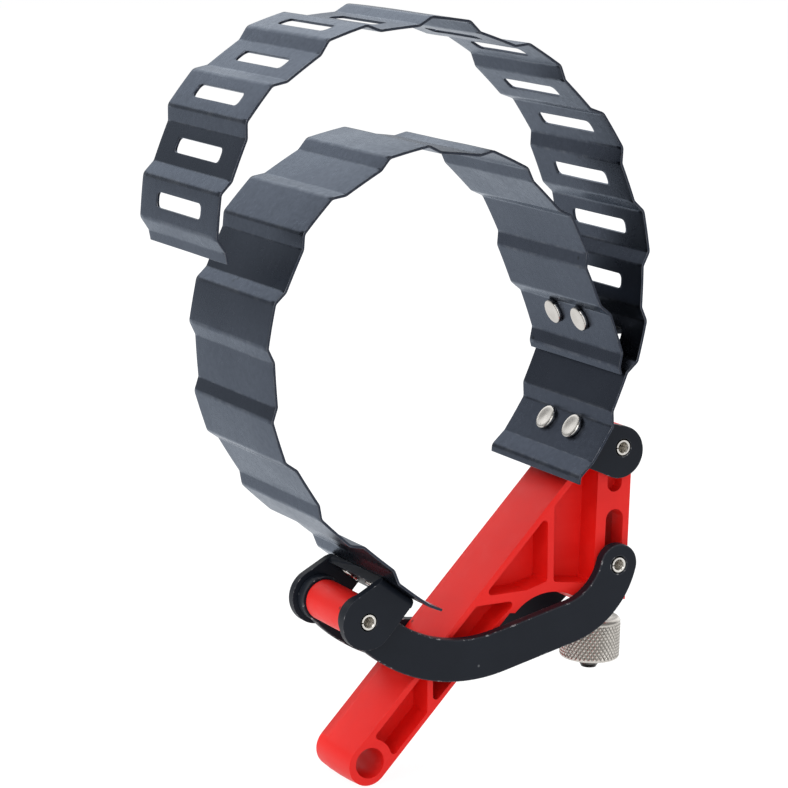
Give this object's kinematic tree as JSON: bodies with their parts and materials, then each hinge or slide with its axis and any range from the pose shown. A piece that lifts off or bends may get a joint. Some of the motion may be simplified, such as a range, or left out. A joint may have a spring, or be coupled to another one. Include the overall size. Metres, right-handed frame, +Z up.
{
  "type": "oil filter wrench",
  "caption": "Oil filter wrench: two corrugated spring steel bands hooked together into an adjustable loop, tightened round the filter by a cored lever, curved links and a knurled adjusting nut.",
  "frame": {"origin": "centre of the hanging hole in the lever's tail, on the mid plane", "axes": "+X to the nose side, +Y along every pivot pin towards the far side, +Z up through the loop"},
  "size_m": [0.1101, 0.038, 0.17],
  "materials": {
    "red_nylon": "satin moulded",
    "black_steel": "fine matt black coating",
    "spring_steel": "blued satin spring steel",
    "nickel": "nickel plated knurl",
    "zinc": "zinc plated",
    "black_oxide": "black oxide",
    "bright_pin": "bright spring pin",
    "bright_rivet": "nickel plated, softly dished"
  },
  "bodies": {
    "lever": {"handle": "red_nylon", "washer": "zinc"},
    "nut": {"thumb_nut": "nickel"},
    "screw": {"adjusting_screw": "black_oxide", "mid_pin": "bright_pin"},
    "links": {"near_link": "black_steel", "far_link": "black_steel", "link_spacer": "red_nylon"},
    "plain_side": {"plain_strap": "spring_steel", "left_bracket": "black_steel", "left_pin": "bright_pin", "band_hook": "black_steel", "left_bracket_rivet_1": "bright_rivet", "left_bracket_rivet_2": "bright_rivet", "hook_rivet_1": "bright_rivet", "hook_rivet_2": "bright_rivet"},
    "slotted_side": {"slotted_strap": "spring_steel", "right_bracket": "black_steel", "top_pin": "bright_pin", "right_bracket_rivet_1": "bright_rivet", "right_bracket_rivet_2": "bright_rivet"}
  },
  "joints": [
    {"name": "take_up", "type": "slide", "parent": "lever", "child": "screw", "axis": [-0.0369, 0, -0.9993], "range_m": [0, 0.0008]},
    {"name": "nut_spin", "type": "hinge", "parent": "lever", "child": "nut", "pos_m": [0.0627, 0, 0.0378], "axis": [0.0369, 0, 0.9993], "range_deg": [0, 360]},
    {"name": "lever_swing", "type": "hinge", "parent": "screw", "child": "links", "pos_m": [0.0627, 0, 0.0378], "axis": [0, 1, 0], "range_deg": [-4.5, 3]},
    {"name": "left_pivot", "type": "hinge", "parent": "links", "child": "plain_side", "pos_m": [-0.0029, 0, 0.0339], "axis": [0, 1, 0], "range_deg": [-0.1516, 0.2269]},
    {"name": "top_pivot", "type": "hinge", "parent": "lever", "child": "slotted_side", "pos_m": [0.0637, 0, 0.0649], "axis": [0, 1, 0], "range_deg": [-8.71, 5.81]}
  ],
  "couplings": [
    {"joint": "nut_spin", "follows": "take_up", "rad_per_m": 7854},
    {"joint": "left_pivot", "follows": "lever_swing", "ratio": -0.0502},
    {"joint": "top_pivot", "follows": "lever_swing", "ratio": 1.9324}
  ]
}
